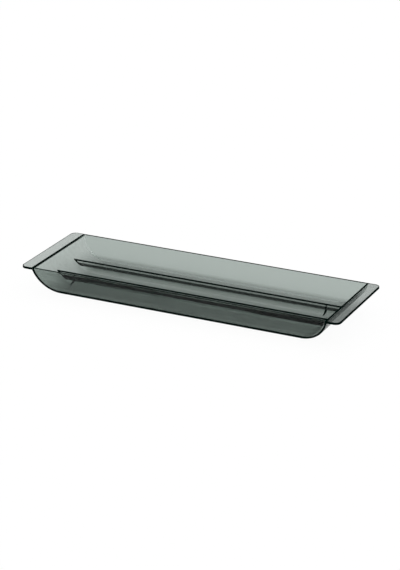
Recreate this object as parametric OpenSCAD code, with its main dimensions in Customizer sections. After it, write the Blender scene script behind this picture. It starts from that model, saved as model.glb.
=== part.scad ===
// Shallow drawer organizer with three long lanes, hung by the flange at each end.
// Lengths are in millimetres. The origin is the centre of the underside, +Z is up,
// +X runs along the lanes and the front wall faces -Y.

/* [Tray] */
// Length over the two end walls, measured at the rim
tray_l = 302; // [240:1:420]
// Depth from the front face to the back face, measured at the rim
tray_d = 102.6; // [92:0.2:160]
// Height from the underside to the rim
tray_h = 23.4; // [18:0.2:27]
// Thickness of the sheet that is bent into the floor and both ends
sheet_t = 2; // [1.5:0.1:3]
// Outside radius of the bend at each end
bend_r = 27.8; // [27:0.2:42]
// Thickness of the front and back wall panels
wall_t = 2; // [1.5:0.1:3]
// Distance that the front and back walls lean in from the rim down to the underside
wall_lean = 6; // [0:0.5:9]

/* [Flanges] */
// Distance that each flange stands out past the end wall
flange_w = 11.6; // [8:0.2:25]
// Thickness of the flange plates
flange_t = 2; // [1.5:0.1:3]
// Radius of the flanges' two outer corners
flange_corner_r = 5.5; // [2:0.5:8]

/* [Dividers] */
// Thickness of each divider
divider_t = 2; // [1.5:0.1:3]
// Height of each divider above the inside floor
divider_h = 8.6; // [5:0.1:12]
// Clear width of the middle lane, the same distance from the front and the back
middle_lane_w = 31; // [22:0.5:38]
// Radius of the hollow foot along both sides of each divider
foot_r = 2.5; // [1.5:0.1:3.5]
// Thickness that the foot keeps at its outer edge
foot_lip = 0.2; // [0.1:0.1:0.5]

/* [Webs] */
// Thickness of the small web that braces each divider
web_t = 1; // [0.8:0.1:2]
// Radius of the web's hollow edge
web_r = 7; // [4:0.5:9]
// Height that the web keeps at its two tips
web_tip = 0.6; // [0.4:0.1:1]
// Distance of each web's outer side from the line where the floor starts to bend up
web_setback = 0; // [0:0.5:40]

/* [Hidden] */

$fn = 180;
smoke = [0.47, 0.53, 0.50, 0.55];

// The bend is cut off by the rim before it turns fully upright, so its centre
// lies above the rim and inside the rim's length.
bend_z = bend_r;
bend_x = tray_l / 2 - sqrt(pow(bend_r, 2) - pow(bend_r - tray_h, 2));
inside_r = bend_r - sheet_t;

// Level thickness of a leaning wall
wall_w = wall_t / cos(atan(wall_lean / tray_h));

// Front faces of the rim and the dividers
front_face_y = -tray_d / 2;
front_divider_y = -middle_lane_w / 2 - divider_t;
back_divider_y = middle_lane_w / 2;

// A web ends below the rounded top edge of its divider and stands on the flat floor.
half_t = divider_t / 2;
fit_web_r = min(web_r, divider_h - half_t - web_tip);
web_x = bend_x - web_setback - web_t / 2;

// Outline of the tray seen from the front, inside the bend radius r, cut level at height top.
module tray_outline(r, top) {
    intersection() {
        union() {
            for (side = [-1, 1]) {
                translate([side * bend_x, bend_z])
                    circle(r);
            }
            translate([-bend_x, bend_z - r])
                square([2 * bend_x, r]);
        }
        translate([-tray_l, bend_z - r])
            square([2 * tray_l, top - bend_z + r]);
    }
}

// Turns an outline seen from the front into a panel that starts at height y and is t deep.
module panel(y, t) {
    translate([0, y + t, 0])
        rotate([90, 0, 0])
            linear_extrude(t)
                children();
}

// Turns a section seen from the left end into a bar that is w long and centred at x.
module bar(x, w) {
    translate([x - w / 2, 0, 0])
        rotate([90, 0, 90])
            linear_extrude(w)
                children();
}

// Place of the front wall's outer face at height z
function face_y(z) = front_face_y + wall_lean * (1 - z / tray_h);

// Section between the outer faces of both walls, a little taller than the tray
module depth_section() {
    low = face_y(-1);
    high = face_y(tray_h + 1);
    polygon([[low, -1], [-low, -1], [-high, tray_h + 1], [high, tray_h + 1]]);
}

// Section of the front wall, a little taller than the tray
module wall_section() {
    low = face_y(-1);
    high = face_y(tray_h + 1);
    polygon([[low, -1], [low + wall_w, -1], [high + wall_w, tray_h + 1], [high, tray_h + 1]]);
}

// Leaning panel set inside the pan, flush with the pan's front edge
module leaning_wall() {
    intersection() {
        bar(0, tray_l)
            wall_section();
        panel(front_face_y, tray_d)
            tray_outline(inside_r, tray_h);
    }
}

// Section of a divider whose front face is at y: rounded top edge and a hollow foot on each side
module divider_section(y) {
    foot_w = half_t + foot_r;
    translate([y + half_t, sheet_t]) {
        translate([-half_t, 0])
            square([divider_t, divider_h - half_t]);
        translate([0, divider_h - half_t])
            circle(half_t);
        difference() {
            translate([-foot_w, 0])
                square([2 * foot_w, foot_r + foot_lip]);
            for (side = [-1, 1]) {
                translate([side * foot_w, foot_r + foot_lip])
                    circle(foot_r);
            }
        }
    }
}

// Low rib whose pointed ends run up the inside of the bends
module divider(y) {
    intersection() {
        bar(0, tray_l)
            divider_section(y);
        panel(y - 2 * foot_r, divider_t + 4 * foot_r)
            tray_outline(inside_r, tray_h);
    }
}

// Small upright web at x, with a hollow front edge, that braces the divider at y.
module divider_web(x, y) {
    leg = fit_web_r + web_tip;
    bar(x, web_t)
        difference() {
            translate([y - leg, sheet_t])
                square(leg);
            translate([y - leg, sheet_t + leg])
                circle(fit_web_r);
            divider_section(y);
        }
}

// Plan of the right flange, from the line where the bend starts to its rounded outer corners
module flange_plan() {
    outer_x = tray_l / 2 + flange_w;
    corner = [outer_x - flange_corner_r, tray_d / 2 - flange_corner_r];
    difference() {
        translate([bend_x, front_face_y])
            square([outer_x - bend_x, tray_d]);
        for (side = [0, 1]) {
            mirror([0, side, 0])
                difference() {
                    translate(corner)
                        square(flange_corner_r + 1);
                    translate(corner)
                        circle(flange_corner_r);
                }
        }
    }
}

// Flat plate level with the rim, its inner edge shaped to the outside of the bend.
module flange() {
    difference() {
        translate([0, 0, tray_h - flange_t])
            linear_extrude(flange_t)
                flange_plan();
        panel(front_face_y - 1, tray_d + 2)
            tray_outline(bend_r, tray_h + 1);
    }
}

// Floor and both curved ends, bent from one sheet, its front and back edges cut to the walls' lean
module tray_pan() {
    color(smoke)
        intersection() {
            bar(0, tray_l + 2)
                depth_section();
            panel(front_face_y - 1, tray_d + 2)
                difference() {
                    tray_outline(bend_r, tray_h);
                    tray_outline(inside_r, tray_h + 1);
                }
        }
}

module left_flange() {
    color(smoke)
        mirror([1, 0, 0])
            flange();
}

module right_flange() {
    color(smoke)
        flange();
}

module front_wall() {
    color(smoke)
        leaning_wall();
}

module back_wall() {
    color(smoke)
        mirror([0, 1, 0])
            leaning_wall();
}

module front_divider() {
    color(smoke)
        divider(front_divider_y);
}

module back_divider() {
    color(smoke)
        divider(back_divider_y);
}

// Braces the front divider near its left end
module front_divider_web() {
    color(smoke)
        divider_web(-web_x, front_divider_y);
}

// Braces the back divider near its right end
module back_divider_web() {
    color(smoke)
        divider_web(web_x, back_divider_y);
}

tray_pan();
left_flange();
right_flange();
front_wall();
back_wall();
front_divider();
back_divider();
front_divider_web();
back_divider_web();
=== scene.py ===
import bpy
import math
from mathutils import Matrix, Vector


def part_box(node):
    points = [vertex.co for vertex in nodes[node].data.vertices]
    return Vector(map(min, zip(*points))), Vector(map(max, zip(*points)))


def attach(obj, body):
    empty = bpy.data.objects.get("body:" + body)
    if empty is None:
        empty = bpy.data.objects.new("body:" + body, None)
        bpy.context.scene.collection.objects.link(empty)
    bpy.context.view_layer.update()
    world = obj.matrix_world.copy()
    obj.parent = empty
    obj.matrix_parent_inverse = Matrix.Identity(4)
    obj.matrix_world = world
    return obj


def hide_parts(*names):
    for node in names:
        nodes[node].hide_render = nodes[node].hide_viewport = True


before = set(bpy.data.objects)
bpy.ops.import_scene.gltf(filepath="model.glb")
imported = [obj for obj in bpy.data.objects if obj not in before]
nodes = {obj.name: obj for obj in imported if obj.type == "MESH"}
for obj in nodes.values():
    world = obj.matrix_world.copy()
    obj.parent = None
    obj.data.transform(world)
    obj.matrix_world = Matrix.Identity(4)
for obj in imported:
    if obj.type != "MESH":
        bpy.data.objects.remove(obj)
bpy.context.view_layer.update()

# Sizes of the tray in metres, read from the frame
half_length, half_depth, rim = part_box("tray_pan")[1]
flange_low, flange_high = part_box("right_flange")
divider_low, divider_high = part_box("front_divider")
floor_top = divider_low.z
divider_top = divider_high.z
front_foot = divider_low.y
back_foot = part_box("back_divider")[1].y

# The webs stand where the ends start to bend up. The bend's radius follows from its run and rise.
bend_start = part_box("back_divider_web")[1].x
bend_radius = ((half_length - bend_start) ** 2 + rim ** 2) / (2 * rim)
inside_radius = bend_radius - floor_top

# Sizes that the boxes of the pieces don't give
WALL_THICKNESS = 0.002
WALL_LEAN = 0.006
FLANGE_CORNER = 0.0055
wall_slope = WALL_LEAN / rim
wall_width = WALL_THICKNESS * math.sqrt(1 + wall_slope ** 2)

# How much smaller a visible piece is than its solid, so that bonded pieces don't share a face
SHRINK = 0.00001
# Points of a solid's mesh that lie this close are one point
SAME_POINT = 0.000001
# Width of the softened edges
SOFTENED = 0.00015
# Angles in degrees up to which faces are one, and from which an edge is softened or shaded sharp
FLAT = 0.2
SOFTENED_FROM = 35
SHARP_FROM = 50
# Distance by which a mask passes an edge or stays clear of it
HAIR = 0.00005

# Depth of the band at the rim whose level faces are painted black, as painted shade
RIM_BAND = 0.0003
# Height of the painted black line of shade along the front wall's foot
FOOT_LINE = 0.0005
# Width of the darker strip of painted shade along the right flange's inner edge
INNER_STRIP = 0.0048
# Distance within which a face belongs to the joint between an end and its flange
JOINT_REACH = 0.001
# How far the front lane's shade goes on under the divider's foot
UNDER_FOOT = 0.001

# Limits of masks along an axis. A metre is far outside the tray.
FAR = 1.0
OPEN = (-FAR, FAR)
LEFT = (-FAR, 0.0)
RIGHT = (0.0, FAR)
SIDES = (-1, 1)
BACK_LANE = (back_foot, FAR)
FRONT_LANE = (-FAR, front_foot + UNDER_FOOT)
AT_RIM = (rim - RIM_BAND, FAR)
UNDER_RIM = (-FAR, rim - RIM_BAND)
FLANGE_JOINT = (flange_low.z + HAIR, flange_high.z - HAIR)

# Directions for masks. The longer one is, the further away from it a face may look and still be taken.
X = (1, 0, 0)
Y = (0, 1, 0)
FRONT = (0, -1, 0)
UP = (0, 0, 1)
HARDLY_UP = (0, 0, 6)
HARDLY_DOWN = (0, 0, -3)
STRAIGHT_DOWN = (0, 0, -0.75)
# Length of a direction along X or against it that also takes the upper part of a bend
ROUGHLY_OUTWARD = 1.5

WHITE = (1, 1, 1, 1)
# Colour of the tint. The plastic takes up the rest of white light, the more the denser it is.
SMOKE = (0.338, 0.426, 0.384, 1)
# Near-black of the painted shade on edges, rims, bands, lanes and feet, and of the darker flow lines
PAINTED_DARK = (0.001, 0.0055, 0.004, 1)
# Pale colour of the painted highlight
GLINT = (0.62, 0.68, 0.65, 1)
# Share of the usual mirroring that the plastic shows where it is seen squarely
MIRRORS = (0.15, 0.15, 0.15, 1)
PLASTIC_IOR = 1.49

# Fine finish: its flow lines run along X, and its haze comes in small clouds
STREAKS_PER_METRE = (6.0, 320.0, 320.0)
STREAK_DEPTH = 0.001
STREAKS = 0.12
CLOUDS_PER_METRE = 90.0
HAZE = 0.015


# Node helpers

class Tree:
    """Short calls for building one node tree."""

    def __init__(self, data):
        self.data = data

    def node(self, kind, **settings):
        made = self.data.nodes.new(kind)
        for key, setting in settings.items():
            setattr(made, key, setting)
        return made

    def feed(self, socket, value):
        """Links an output to an input socket, or sets the input socket's own value."""
        if hasattr(value, "is_output"):
            self.data.links.new(value, socket)
        else:
            socket.default_value = value

    def fill(self, made, *values):
        """Feeds a node's first inputs in their order."""
        for socket, value in zip(made.inputs, values):
            self.feed(socket, value)
        return made

    def math(self, operation, *values):
        return self.fill(self.node("ShaderNodeMath", operation=operation), *values).outputs[0]

    def vector(self, operation, *values):
        made = self.fill(self.node("ShaderNodeVectorMath", operation=operation), *values)
        return made.outputs["Vector"]

    def along(self, vector, direction):
        """How far a vector reaches along a direction."""
        made = self.node("ShaderNodeVectorMath", operation="DOT_PRODUCT")
        return self.fill(made, vector, direction).outputs["Value"]

    def split(self, vector):
        return self.fill(self.node("ShaderNodeSeparateXYZ"), vector).outputs

    def place(self):
        return self.node("ShaderNodeTexCoord").outputs

    def times(self, first, *others):
        """Product of masks and shares."""
        for other in others:
            first = self.math("MULTIPLY", first, other)
        return first

    def strongest(self, first, *others):
        """Largest of some masks."""
        for other in others:
            first = self.math("MAXIMUM", first, other)
        return first

    def inverse(self, mask):
        return self.math("SUBTRACT", 1.0, mask)

    def hypotenuse(self, run, rise):
        return self.math("SQRT", self.math("ADD", self.times(run, run), self.times(rise, rise)))

    def ramp(self, value, low, high, start=0.0, end=1.0):
        """Smooth change from start at low to end at high."""
        made = self.node("ShaderNodeMapRange", interpolation_type="SMOOTHSTEP")
        settings = {"Value": value, "From Min": low, "From Max": high, "To Min": start, "To Max": end}
        for label, setting in settings.items():
            self.feed(made.inputs[label], setting)
        return made.outputs["Result"]

    def group(self, data, **settings):
        """Places a node group. An underscore in a setting's name stands for a space."""
        made = self.node("ShaderNodeGroup", node_tree=data)
        for label, setting in settings.items():
            self.feed(made.inputs[label.replace("_", " ")], setting)
        return made.outputs

    def diffuse(self, colour):
        made = self.node("ShaderNodeBsdfDiffuse")
        self.feed(made.inputs["Color"], colour)
        return made.outputs["BSDF"]

    def mix(self, share, under, over):
        """Shader that shows over by a share, and under for the rest."""
        return self.fill(self.node("ShaderNodeMixShader"), share, under, over).outputs[0]


NUMBER = "NodeSocketFloat"
VECTOR = "NodeSocketVector"


def new_group(name, inputs, outputs):
    """New node group: its tree, the sockets that it is given and those that it puts out."""
    data = bpy.data.node_groups.new(name, "ShaderNodeTree")
    for label, start in inputs.items():
        kind = VECTOR if isinstance(start, tuple) else NUMBER
        data.interface.new_socket(label, in_out="INPUT", socket_type=kind).default_value = start
    for label, kind in outputs.items():
        data.interface.new_socket(label, in_out="OUTPUT", socket_type=kind)
    tree = Tree(data)
    return tree, tree.node("NodeGroupInput").outputs, tree.node("NodeGroupOutput").inputs


# Effects that the plastics share

def make_patch_mask():
    """1 on the faces that look along Axis, or along either way of it, inside the box Centre +- Half.

    A face looks the other way to light that meets it from inside the plastic."""
    inputs = {"Axis": Y, "Both ways": 0.0, "Centre": (0, 0, 0), "Half": (FAR, FAR, FAR)}
    tree, given, out = new_group("patch_mask", inputs, {"Mask": NUMBER})
    spot = tree.place()
    one_way = tree.along(spot["Normal"], given["Axis"])
    either_way = tree.times(tree.math("ABSOLUTE", one_way), given["Both ways"])
    facing = tree.ramp(tree.strongest(one_way, either_way), low=0.5, high=0.7)
    reach = tree.vector("ABSOLUTE", tree.vector("SUBTRACT", spot["Object"], given["Centre"]))
    spare = tree.split(tree.vector("SUBTRACT", given["Half"], reach))
    least = tree.math("MINIMUM", tree.math("MINIMUM", spare["X"], spare["Y"]), spare["Z"])
    tree.feed(out["Mask"], tree.times(facing, tree.math("GREATER_THAN", least, 0.0)))
    return tree.data


def make_behind_wall():
    """1 behind the inner faces of the two leaning walls, 0 between them."""
    inputs = {"Rim face": half_depth - wall_width, "Lean": wall_slope, "Rim height": rim}
    tree, given, out = new_group("behind_wall", inputs, {"Mask": NUMBER})
    spot = tree.split(tree.place()["Object"])
    drop = tree.math("SUBTRACT", given["Rim height"], spot["Z"])
    upright = tree.math("ADD", tree.math("ABSOLUTE", spot["Y"]), tree.times(drop, given["Lean"]))
    tree.feed(out["Mask"], tree.math("GREATER_THAN", upright, given["Rim face"]))
    return tree.data


def make_soft_band():
    """1 from Low to High along the Along direction, fading over Soft on both sides of either end."""
    inputs = {"Along": UP, "Low": 0.0, "High": FAR, "Soft": 0.0004}
    tree, given, out = new_group("soft_band", inputs, {"Mask": NUMBER})
    way = tree.along(tree.place()["Object"], given["Along"])

    def fade(label, start, end):
        low = tree.math("SUBTRACT", given[label], given["Soft"])
        high = tree.math("ADD", given[label], given["Soft"])
        return tree.ramp(way, low, high, start, end)

    tree.feed(out["Mask"], tree.times(fade("Low", 0.0, 1.0), fade("High", 1.0, 0.0)))
    return tree.data


def make_near_bend():
    """The share for Left end or Right end in the Width along the inside of that bend, 0 elsewhere."""
    inputs = {"Start": bend_start - HAIR, "Centre height": bend_radius, "Radius": inside_radius,
              "Width": 0.001, "Left end": 1.0, "Right end": 1.0}
    tree, given, out = new_group("near_bend", inputs, {"Mask": NUMBER})
    spot = tree.split(tree.place()["Object"])
    run = tree.math("SUBTRACT", tree.math("ABSOLUTE", spot["X"]), given["Start"])
    rise = tree.math("SUBTRACT", spot["Z"], given["Centre height"])
    line_start = tree.math("SUBTRACT", given["Radius"], given["Width"])
    close = tree.math("GREATER_THAN", tree.hypotenuse(run, rise), line_start)
    on_bend = tree.math("GREATER_THAN", run, 0.0)
    right = tree.math("GREATER_THAN", spot["X"], 0.0)
    right_share = tree.times(right, given["Right end"])
    left_share = tree.times(tree.inverse(right), given["Left end"])
    tree.feed(out["Mask"], tree.times(close, on_bend, tree.math("ADD", right_share, left_share)))
    return tree.data


def make_outline_strip():
    """Mask of a painted dark line: 1 in the Width along the flanges' outer edges, and Far share along the
    left and back ones.
    """
    inputs = {"Half length": flange_high.x, "Half depth": half_depth, "Corner": FLANGE_CORNER,
              "Width": 0.0006, "Far share": 0.9}
    tree, given, out = new_group("outline_strip", inputs, {"Mask": NUMBER})
    spot = tree.split(tree.place()["Object"])

    def past_straight(way, half):
        straight = tree.math("SUBTRACT", given[half], given["Corner"])
        return tree.math("MAXIMUM", tree.math("SUBTRACT", tree.math("ABSOLUTE", spot[way]), straight), 0.0)

    reach = tree.hypotenuse(past_straight("X", "Half length"), past_straight("Y", "Half depth"))
    line_start = tree.math("SUBTRACT", given["Corner"], given["Width"])
    strip = tree.math("GREATER_THAN", reach, line_start)

    # The share changes near the flanges' corners.
    fade_start = half_depth - 0.0083
    fade_end = half_depth - 0.0043
    on_right = tree.ramp(spot["X"], low=0.0, high=0.001)
    off_back = tree.ramp(spot["Y"], fade_start, fade_end, start=1.0, end=0.0)
    on_front = tree.ramp(spot["Y"], -fade_end, -fade_start, start=1.0, end=0.0)
    near = tree.strongest(tree.times(on_right, off_back), on_front)
    far = tree.times(tree.inverse(near), given["Far share"])
    tree.feed(out["Mask"], tree.times(strip, tree.math("ADD", near, far)))
    return tree.data


def make_fine_finish():
    """Slight flow lines along the tray and a little haze, as moulded clear plastic has."""
    inputs = {"Strength": STREAKS, "Haze": HAZE}
    outputs = {"Roughness": NUMBER, "Normal": VECTOR, "Flow lines": NUMBER}
    tree, given, out = new_group("fine_finish", inputs, outputs)
    spot = tree.place()["Object"]
    streaks = tree.node("ShaderNodeTexNoise")
    tree.feed(streaks.inputs["Vector"], tree.vector("MULTIPLY", spot, STREAKS_PER_METRE))
    tree.feed(streaks.inputs["Scale"], 1.0)
    tree.feed(streaks.inputs["Detail"], 3.0)
    clouds = tree.node("ShaderNodeTexNoise")
    tree.feed(clouds.inputs["Vector"], spot)
    tree.feed(clouds.inputs["Scale"], CLOUDS_PER_METRE)
    bump = tree.node("ShaderNodeBump")
    tree.feed(bump.inputs["Strength"], given["Strength"])
    tree.feed(bump.inputs["Distance"], STREAK_DEPTH)
    tree.feed(bump.inputs["Height"], streaks.outputs["Fac"])
    tree.feed(out["Normal"], bump.outputs["Normal"])
    tree.feed(out["Flow lines"], tree.ramp(streaks.outputs["Fac"], low=0.42, high=0.66))
    cloudy = tree.ramp(clouds.outputs["Fac"], low=0.35, high=0.75)
    tree.feed(out["Roughness"], tree.times(cloudy, given["Haze"]))
    return tree.data


patch_mask = make_patch_mask()
behind_wall = make_behind_wall()
soft_band = make_soft_band()
near_bend = make_near_bend()
outline_strip = make_outline_strip()
fine_finish = make_fine_finish()


# Plastics

class SmokePlastic(Tree):
    """Clear plastic whose tint builds up with the length of the light's way through it.

    Masks in object coordinates paint shade, darker flow lines and highlights onto parts of its surface, or
    bond them, the same from every side."""

    def __init__(self, name, density, streaks=0.0):
        self.material = bpy.data.materials.new(name)
        self.material.use_nodes = True
        super().__init__(self.material.node_tree)
        self.data.nodes.clear()
        finish = self.group(fine_finish, Strength=streaks, Haze=HAZE)
        self.flow_lines = finish["Flow lines"]
        self.outside = self.inverse(self.node("ShaderNodeNewGeometry").outputs["Backfacing"])
        clear = self.node("ShaderNodeBsdfPrincipled")
        self.feed(clear.inputs["Base Color"], WHITE)
        self.feed(clear.inputs["Transmission Weight"], 1.0)
        self.feed(clear.inputs["Roughness"], finish["Roughness"])
        self.feed(clear.inputs["Normal"], finish["Normal"])
        self.feed(clear.inputs["IOR"], PLASTIC_IOR)
        self.feed(clear.inputs["Specular Tint"], MIRRORS)
        tint = self.node("ShaderNodeVolumeAbsorption")
        self.feed(tint.inputs["Color"], SMOKE)
        self.feed(tint.inputs["Density"], density)
        self.output = self.node("ShaderNodeOutputMaterial").inputs
        self.feed(self.output["Volume"], tint.outputs["Volume"])
        self.show(clear.outputs["BSDF"])

    def show(self, surface):
        self.surface = surface
        self.feed(self.output["Surface"], surface)

    def paint_dark(self, *masks):
        """Paints the outside near black where one of the masks is strong: painted shade, and the darker
        flow lines.
        """
        mask = self.times(self.strongest(*masks), self.outside)
        self.show(self.mix(mask, self.surface, self.diffuse(PAINTED_DARK)))

    def paint_highlight(self, mask):
        """Paints a pale highlight on the outside where the mask is strong."""
        self.show(self.mix(self.times(mask, self.outside), self.surface, self.diffuse(GLINT)))

    def bond(self, *masks):
        """Lets light straight on into the piece that a masked face is bonded to."""
        straight_on = self.node("ShaderNodeBsdfTransparent").outputs["BSDF"]
        self.show(self.mix(self.strongest(*masks), self.surface, straight_on))

    def facing(self, axis, both_ways=0.0, x=OPEN, y=OPEN, z=OPEN):
        """Mask of the faces that look along an axis, within limits along X, Y and Z."""
        centre = tuple((low + high) / 2 for low, high in (x, y, z))
        half = tuple((high - low) / 2 for low, high in (x, y, z))
        return self.group(patch_mask, Axis=axis, Both_ways=both_ways, Centre=centre, Half=half)["Mask"]

    def between(self, low, high, soft, along=UP):
        """Mask from low to high along a direction, with soft ends."""
        return self.group(soft_band, Along=along, Low=low, High=high, Soft=soft)["Mask"]

    def fading(self, mask, share, end, soft, along=UP):
        """Share of a mask up to an end along a direction, where it fades out."""
        return self.times(mask, self.between(-FAR, end, soft, along), share)

    def bend_line(self, width, left=1.0, right=1.0):
        """Mask of a line along the bends, with a share for each end of the tray."""
        return self.group(near_bend, Width=width, Left_end=left, Right_end=right)["Mask"]


def towards_end(side, start, stop=FAR):
    """Limits along X from start outwards to stop, at the left end for side -1 and the right end for 1."""
    return (start, stop) if side > 0 else (-stop, -start)


def pan_plastic():
    """Painted shade as black cut edges and rim, and a painted shadow that makes the floor softly darker,
    most of all in the outer lanes.
    """
    plastic = SmokePlastic("pan_plastic", density=500, streaks=STREAKS)
    level_faces = plastic.facing(UP, both_ways=1.0)
    back_lane = plastic.facing(UP, y=BACK_LANE)
    front_lane = plastic.facing(UP, y=FRONT_LANE)
    plastic.paint_dark(plastic.facing(Y, both_ways=1.0),
                   plastic.facing(UP, z=AT_RIM),
                   plastic.fading(level_faces, share=0.03, end=floor_top + 0.004, soft=0.005),
                   plastic.fading(back_lane, share=0.20, end=floor_top + 0.006, soft=0.006),
                   plastic.fading(front_lane, share=0.26, end=floor_top + 0.004, soft=0.004),
                   plastic.times(plastic.flow_lines, 0.05))
    flange_joints = [plastic.facing((side * ROUGHLY_OUTWARD, 0, 0), z=FLANGE_JOINT,
                                    x=towards_end(side, flange_low.x - JOINT_REACH))
                     for side in SIDES]
    under_walls = plastic.times(plastic.group(behind_wall)["Mask"], plastic.facing(HARDLY_UP, z=UNDER_RIM))
    plastic.bond(*flange_joints, under_walls)
    return plastic.material


def flange_plastic():
    """Painted shade as black outer edges with a line along them, and painted shades on the right flange,
    most of all in front.
    """
    plastic = SmokePlastic("flange_plastic", density=340)
    joint_end = half_length + JOINT_REACH
    outer_edges = [plastic.facing((side, 0, 0), x=towards_end(side, joint_end)) for side in SIDES]
    inner_edges = [plastic.facing((-side, 0, 0), x=towards_end(side, 0.0, joint_end)) for side in SIDES]
    outline = plastic.times(plastic.group(outline_strip, Width=0.0009)["Mask"], plastic.facing(UP))
    right_top = plastic.facing(UP, x=RIGHT)
    inner_strip = plastic.facing(UP, x=(0.0, flange_low.x + INNER_STRIP))
    plastic.paint_dark(plastic.facing(Y, both_ways=1.0),
                   *outer_edges,
                   outline,
                   plastic.times(right_top, 0.22),
                   plastic.fading(right_top, share=0.37, end=0.012, soft=0.022, along=Y),
                   plastic.fading(inner_strip, share=0.53, end=0.025, soft=0.015, along=Y))
    plastic.bond(*inner_edges)
    return plastic.material


def wall_joints(plastic):
    """Masks of a wall's underside and ends, where the pan holds it."""
    return plastic.facing(STRAIGHT_DOWN, z=UNDER_RIM), plastic.facing(X, both_ways=1.0, z=UNDER_RIM)


def front_wall_plastic():
    """Painted shade as a black rim, foot and left curve, a painted highlight as a thin light line along
    the right curve, and darker flow lines.
    """
    plastic = SmokePlastic("front_wall_plastic", density=440, streaks=STREAKS)
    plastic.paint_dark(plastic.facing(Y, both_ways=1.0, z=(-FAR, floor_top + FOOT_LINE)),
                   plastic.facing(UP, z=AT_RIM),
                   plastic.bend_line(width=0.0004, right=0.0),
                   plastic.times(plastic.flow_lines, 0.16))
    plastic.paint_highlight(plastic.times(plastic.bend_line(width=0.0006, left=0.0, right=0.38),
                                  plastic.between(floor_top + 0.003, rim - 0.0029, soft=0.003),
                                  plastic.facing(FRONT)))
    plastic.bond(*wall_joints(plastic))
    return plastic.material


def back_wall_plastic():
    """Painted shade as a black rim, and a painted shadow that makes the foot softly darker."""
    plastic = SmokePlastic("back_wall_plastic", density=665)
    foot = plastic.between(-FAR, floor_top + 0.0027, soft=0.0028)
    plastic.paint_dark(plastic.facing(UP, z=AT_RIM),
                   plastic.times(foot, 0.36))
    plastic.bond(*wall_joints(plastic))
    return plastic.material


def divider_plastic(name, density, melt, band, band_share, end_width, end_foot):
    """Painted shade as a black top edge and curved ends and a dark band, over a foot that melts into the
    floor.

    The heights melt, band and end_foot are measured from the floor."""
    plastic = SmokePlastic(name, density)
    top_edge = plastic.between(divider_top - 0.0012, FAR, soft=0.0002)
    dark_band = plastic.between(floor_top + band[0], floor_top + band[1], soft=0.0005)
    above_foot = plastic.between(floor_top + end_foot, FAR, soft=0.0002)
    plastic.paint_dark(top_edge,
                   plastic.times(dark_band, band_share),
                   plastic.times(plastic.bend_line(end_width), above_foot))
    melted = (-FAR, floor_top + melt)
    plastic.bond(plastic.facing(UP, z=melted),
                 plastic.facing(Y, both_ways=1.0, z=melted),
                 plastic.facing(HARDLY_DOWN))
    return plastic.material


def web_plastic():
    """Painted black all over as shade, but for the upper part of the left web's two sides."""
    plastic = SmokePlastic("web_plastic", density=500)
    plastic.paint_dark(plastic.facing(X, both_ways=1.0, x=RIGHT),
                   plastic.facing(X, both_ways=1.0, x=LEFT, z=(-FAR, floor_top + 0.0035)),
                   plastic.facing(Y, both_ways=1.0),
                   plastic.facing(UP, both_ways=1.0))
    return plastic.material


plastics = {
    "tray_pan": pan_plastic(),
    "left_flange": flange_plastic(),
    "front_wall": front_wall_plastic(),
    "back_wall": back_wall_plastic(),
    "front_divider": divider_plastic("front_divider_plastic", density=260, melt=0.0018,
                                     band=(0.0017, 0.0061), band_share=1.0,
                                     end_width=0.0015, end_foot=0.0017),
    "back_divider": divider_plastic("back_divider_plastic", density=120, melt=0.0026,
                                    band=(0.0030, 0.0059), band_share=0.85,
                                    end_width=0.0017, end_foot=0.0028),
    "front_divider_web": web_plastic(),
}
plastics["right_flange"] = plastics["left_flange"]
plastics["back_divider_web"] = plastics["front_divider_web"]


# Pieces

def select_only(piece):
    bpy.ops.object.select_all(action="DESELECT")
    piece.select_set(True)
    bpy.context.view_layer.objects.active = piece


def soften_edges(piece, rim_only):
    """Rounds a piece's sharp edges. A wall's other edges are bonded to the pan, so they stay sharp."""
    bevel = piece.modifiers.new("edge", "BEVEL")
    bevel.width = SOFTENED
    bevel.segments = 2
    bevel.limit_method = "ANGLE"
    bevel.angle_limit = math.radians(SOFTENED_FROM)
    if rim_only:
        bevel.limit_method = "WEIGHT"
        weights = piece.data.attributes.new("bevel_weight_edge", "FLOAT", "EDGE")
        for edge in piece.data.edges:
            lowest = min(piece.data.vertices[corner].co.z for corner in edge.vertices)
            weights.data[edge.index].value = 1.0 if lowest > rim - 2 * HAIR else 0.0
    bpy.ops.object.modifier_apply(modifier="edge")


def moulded(name):
    """Copy of a CAD piece as a clean mesh, a hair smaller all round, in its own plastic."""
    select_only(nodes[name])
    bpy.ops.object.duplicate()
    piece = bpy.context.object
    piece.name = name + "_moulding"
    bpy.ops.object.mode_set(mode="EDIT")
    bpy.ops.mesh.select_all(action="SELECT")
    bpy.ops.mesh.remove_doubles(threshold=SAME_POINT)
    bpy.ops.mesh.dissolve_limited(angle_limit=math.radians(FLAT))
    bpy.ops.mesh.normals_make_consistent(inside=False)
    bpy.ops.transform.shrink_fatten(value=-SHRINK, use_even_offset=True)
    bpy.ops.object.mode_set(mode="OBJECT")
    if "divider" not in name:
        soften_edges(piece, rim_only=name.endswith("wall"))
    bpy.ops.mesh.customdata_custom_splitnormals_clear()
    bpy.ops.object.shade_smooth_by_angle(angle=math.radians(SHARP_FROM))
    piece.modifiers.new("weights", "WEIGHTED_NORMAL").keep_sharp = True
    bpy.ops.object.modifier_apply(modifier="weights")
    piece.data.materials.clear()
    piece.data.materials.append(plastics[name])
    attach(piece, "root")
    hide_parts(name)


for name in nodes:
    moulded(name)


# Stage

FLOOR_SIZE = 12
FLOOR_GAP = 0.004
LIT_WHITE = (0.95, 0.95, 0.95, 1)
# Share of the ground's own white that it gives out by itself
SELF_LIT = 0.95
# Share of that white in what the plastic mirrors and in what shows through it
THROUGH = 0.4


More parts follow.
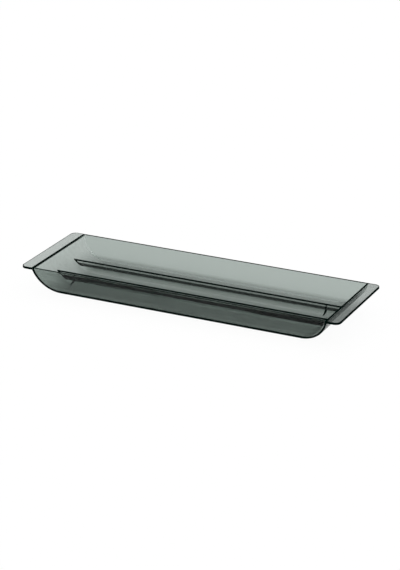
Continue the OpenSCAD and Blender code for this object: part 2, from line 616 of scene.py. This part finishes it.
def white_paper():
    """Ground that shows its own white to the camera and in part to the plastic, and keeps shadows."""
    paper = bpy.data.materials.new("white_paper")
    paper.use_nodes = True
    tree = Tree(paper.node_tree)
    tree.data.nodes.clear()
    ray = tree.node("ShaderNodeLightPath").outputs
    glow = tree.node("ShaderNodeEmission").outputs["Emission"]
    own_white = tree.mix(SELF_LIT, tree.diffuse(WHITE), glow)
    in_plastic = tree.times(tree.strongest(ray["Is Glossy Ray"], ray["Is Transmission Ray"]), THROUGH)
    share = tree.strongest(ray["Is Camera Ray"], in_plastic)
    surface = tree.node("ShaderNodeOutputMaterial").inputs["Surface"]
    tree.feed(surface, tree.mix(share, tree.diffuse(LIT_WHITE), own_white))
    return paper


bpy.ops.object.select_all(action="DESELECT")
bpy.ops.mesh.primitive_plane_add(size=FLOOR_SIZE, location=(0, 0, -FLOOR_GAP))
floor = bpy.context.object
floor.name = "floor"
floor.data.materials.append(white_paper())

# Strength of the light below and above, and the heights between which it grows, where 1 is straight up
LOW_LIGHT = 0.3
HIGH_LIGHT = 1.38
LOW_SKY = 0.35
HIGH_SKY = 0.75


def studio():
    """Soft light from above, weaker from the sides."""
    world = bpy.data.worlds.new("studio")
    world.use_nodes = True
    tree = Tree(world.node_tree)
    around = tree.data.nodes["Background"].inputs
    tree.feed(around["Color"], WHITE)
    height = tree.split(tree.place()["Generated"])["Z"]
    tree.feed(around["Strength"], tree.ramp(height, LOW_SKY, HIGH_SKY, LOW_LIGHT, HIGH_LIGHT))
    return world


bpy.context.scene.world = studio()

# Camera that was fitted to the tray's edges in the photograph, in metres, degrees and millimetres
CAMERA_PLACE = (0.79418, -1.63722, 0.74008)
LOOKS_DOWN = 21.7611
TURNED_LEFT = 25.8394
SENSOR_HEIGHT = 36
LENS = 131.98
VIEW_END = 20


def photo_camera():
    optics = bpy.data.cameras.new("photo_camera")
    optics.sensor_fit = "VERTICAL"
    optics.sensor_height = SENSOR_HEIGHT
    optics.lens = LENS
    optics.clip_end = VIEW_END
    camera = bpy.data.objects.new("photo_camera", optics)
    camera.location = CAMERA_PLACE
    camera.rotation_euler = (math.radians(90 - LOOKS_DOWN), 0, math.radians(TURNED_LEFT))
    bpy.context.collection.objects.link(camera)
    return camera


bpy.context.scene.camera = photo_camera()
bpy.context.scene.view_settings.view_transform = "Standard"
